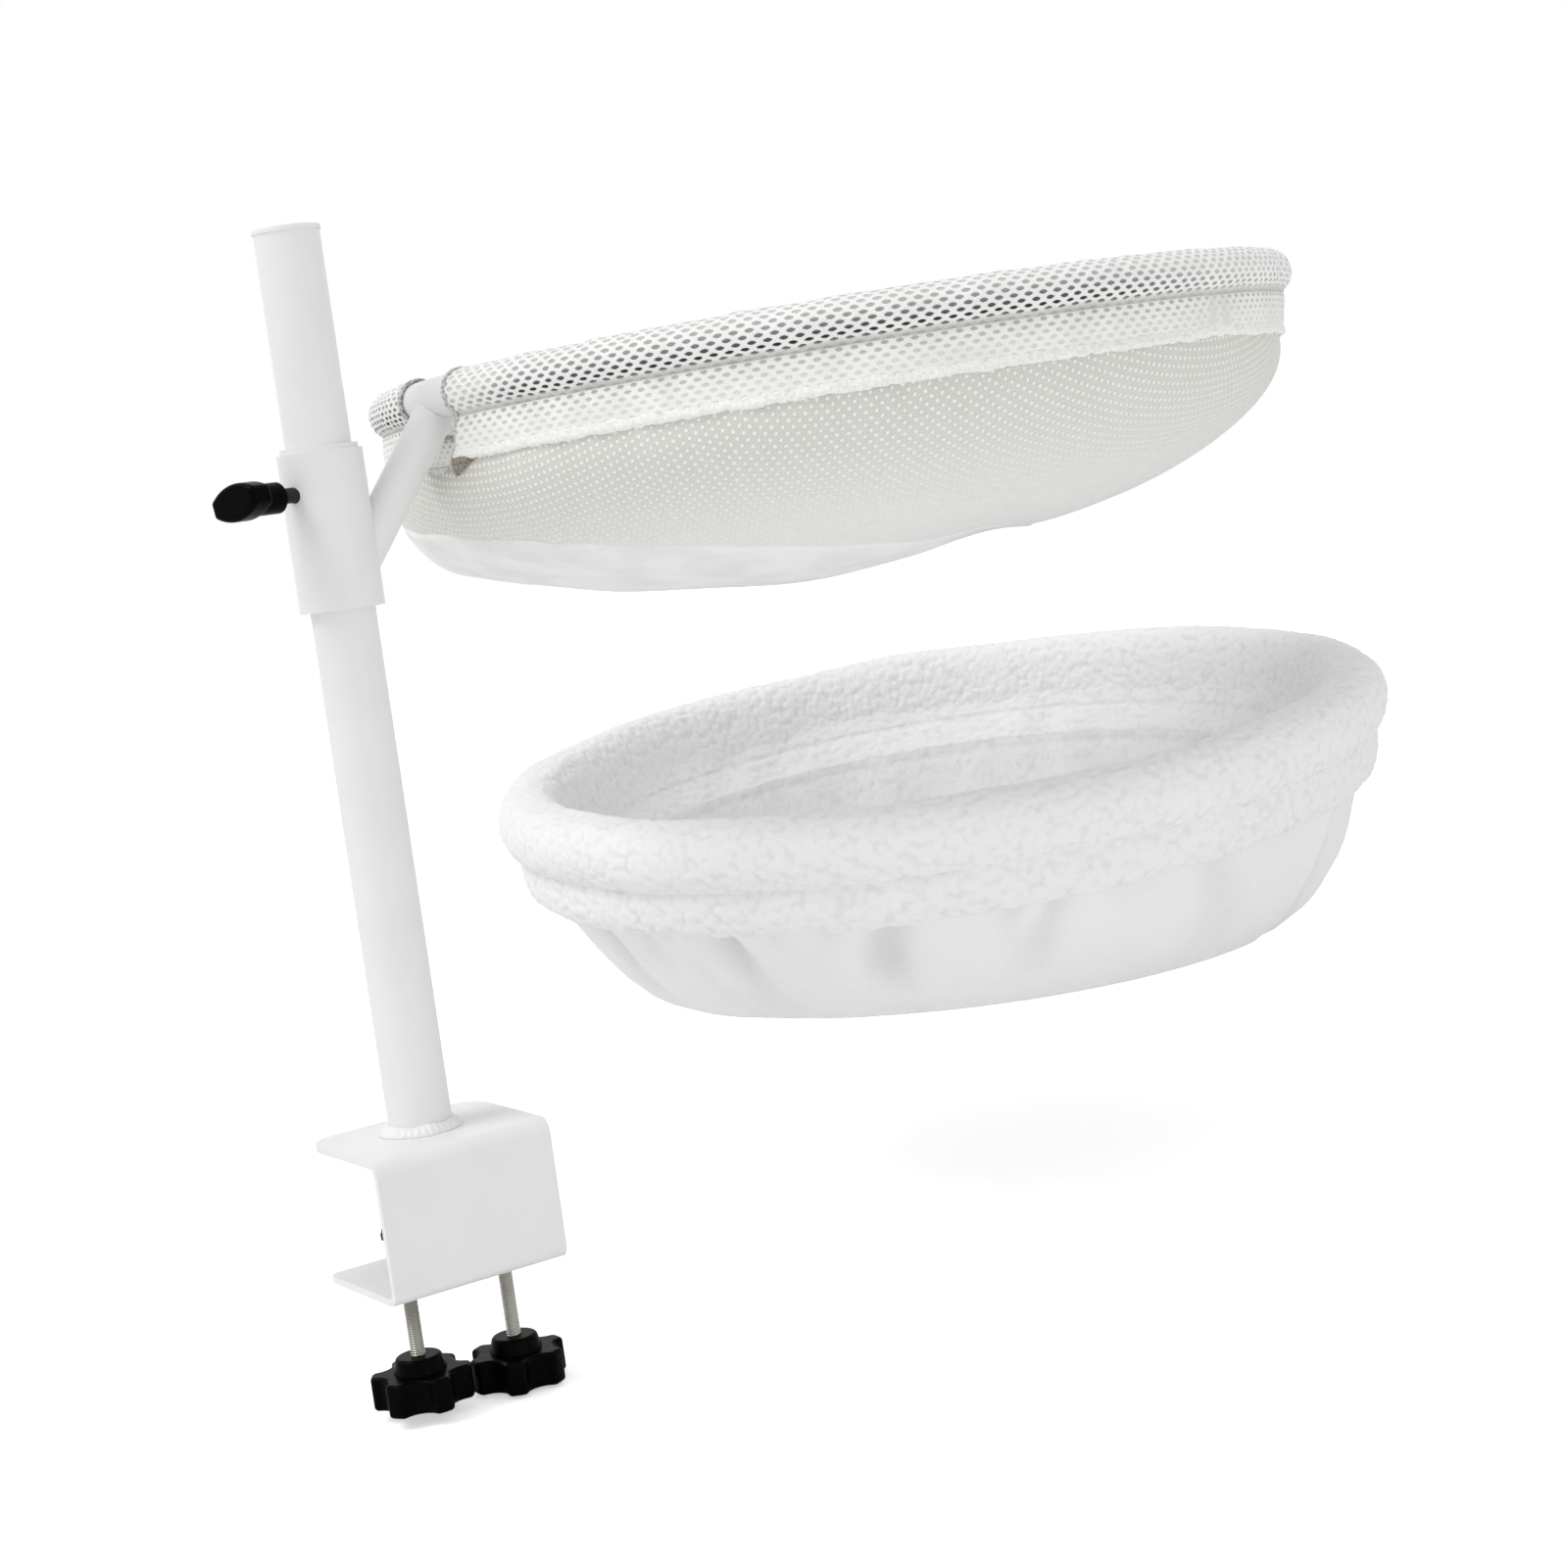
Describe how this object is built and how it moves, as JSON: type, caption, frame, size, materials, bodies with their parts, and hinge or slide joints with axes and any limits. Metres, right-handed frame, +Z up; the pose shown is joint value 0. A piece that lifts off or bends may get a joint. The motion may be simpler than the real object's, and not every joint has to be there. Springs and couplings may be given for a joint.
{
  "type": "desk cat bed",
  "caption": "Round mesh cat hammock on a hoop that slides and swivels on a post clamped to a desk, with a separate round plush bed beside it.",
  "frame": {"origin": "where the post's axis meets the plane of the desk top, on the underside of the upper jaw's pad", "axes": "+Z up along the post; +X along the clamp's width, towards the hammock; +Y into the desk"},
  "size_m": [0.6057, 0.51, 0.4618],
  "materials": {
    "white_steel": "satin white powder coat",
    "zinc_steel": "zinc plated",
    "pad_rubber": "matt foam rubber",
    "white_plastic": "matt white",
    "dark_plastic": "matt black",
    "black_plastic": "gloss black",
    "white_mesh": "white spacer mesh",
    "bowl_mesh": "warm light grey mesh",
    "panel_tricot": "close-knit white tricot",
    "edging_thread": "overlocked grey thread",
    "white_fleece": "curly white fleece",
    "white_plush": "short white plush",
    "base_cloth": "plain woven cloth"
  },
  "bodies": {
    "stand": {"clamp_bracket": "white_steel", "weld_nuts": "zinc_steel", "jaw_pad": "pad_rubber", "post_tube": "white_steel", "post_cap": "white_plastic", "post_weld": "white_steel"},
    "left_pad": {"left_press_pad": "dark_plastic", "left_press_face": "pad_rubber"},
    "left_screw": {"left_clamp_stud": "zinc_steel", "left_star_knob": "black_plastic"},
    "right_pad": {"right_press_pad": "dark_plastic", "right_press_face": "pad_rubber"},
    "right_screw": {"right_clamp_stud": "zinc_steel", "right_star_knob": "black_plastic"},
    "guide": {"upper_bush": "white_plastic", "lower_bush": "white_plastic"},
    "carrier": {"sleeve": "white_steel", "strut": "white_steel", "hoop": "white_steel", "mesh_rim": "white_mesh", "mesh_skirt": "white_mesh", "skirt_hem": "white_mesh", "cutout_edging": "edging_thread", "hem_tab": "edging_thread", "mesh_bowl": "bowl_mesh", "bowl_panel": "panel_tricot"},
    "lock_tip": {"thumb_tip": "white_plastic"},
    "lock_screw": {"thumb_stud": "zinc_steel", "thumb_knob": "black_plastic"},
    "plush_bed": {"plush_base": "base_cloth", "plush_wall": "white_plush", "plush_lining": "white_fleece", "plush_rim_roll": "white_fleece", "plush_lower_roll": "white_fleece", "plush_floor": "white_fleece"}
  },
  "joints": [
    {"name": "height_slide", "type": "slide", "parent": "stand", "child": "guide", "axis": [0, 0, 1], "range_m": [-0.06, 0.081]},
    {"name": "hammock_swivel", "type": "hinge", "parent": "guide", "child": "carrier", "pos_m": [0, 0, 0.2424], "axis": [0, 0, 1], "continuous": true},
    {"name": "lock_travel", "type": "slide", "parent": "carrier", "child": "lock_tip", "axis": [-0.9397, -0.342, 0], "range_m": [0, 0.0015]},
    {"name": "lock_turn", "type": "hinge", "parent": "lock_tip", "child": "lock_screw", "pos_m": [0, 0, 0.2572], "axis": [-0.9397, -0.342, 0], "range_deg": [0, 540]},
    {"name": "left_press_travel", "type": "slide", "parent": "stand", "child": "left_pad", "axis": [0, 0, 1], "range_m": [-0.0095, 0.026]},
    {"name": "left_screw_turn", "type": "hinge", "parent": "left_pad", "child": "left_screw", "pos_m": [-0.021, -0.012, -0.05], "axis": [0, 0, 1], "range_deg": [-3420, 9360]},
    {"name": "right_press_travel", "type": "slide", "parent": "stand", "child": "right_pad", "axis": [0, 0, 1], "range_m": [-0.0055, 0.03]},
    {"name": "right_screw_turn", "type": "hinge", "parent": "right_pad", "child": "right_screw", "pos_m": [0.021, -0.012, -0.05], "axis": [0, 0, 1], "range_deg": [-1980, 10800]},
    {"name": "bed_slide", "type": "slide", "parent": "stand", "child": "plush_bed", "axis": [1, 0, 0], "range_m": [-0.06, 0.15]}
  ],
  "couplings": [
    {"joint": "lock_travel", "follows": "lock_turn", "m_per_rad": 0.00015915},
    {"joint": "left_press_travel", "follows": "left_screw_turn", "m_per_rad": 0.00015915},
    {"joint": "right_press_travel", "follows": "right_screw_turn", "m_per_rad": 0.00015915}
  ]
}
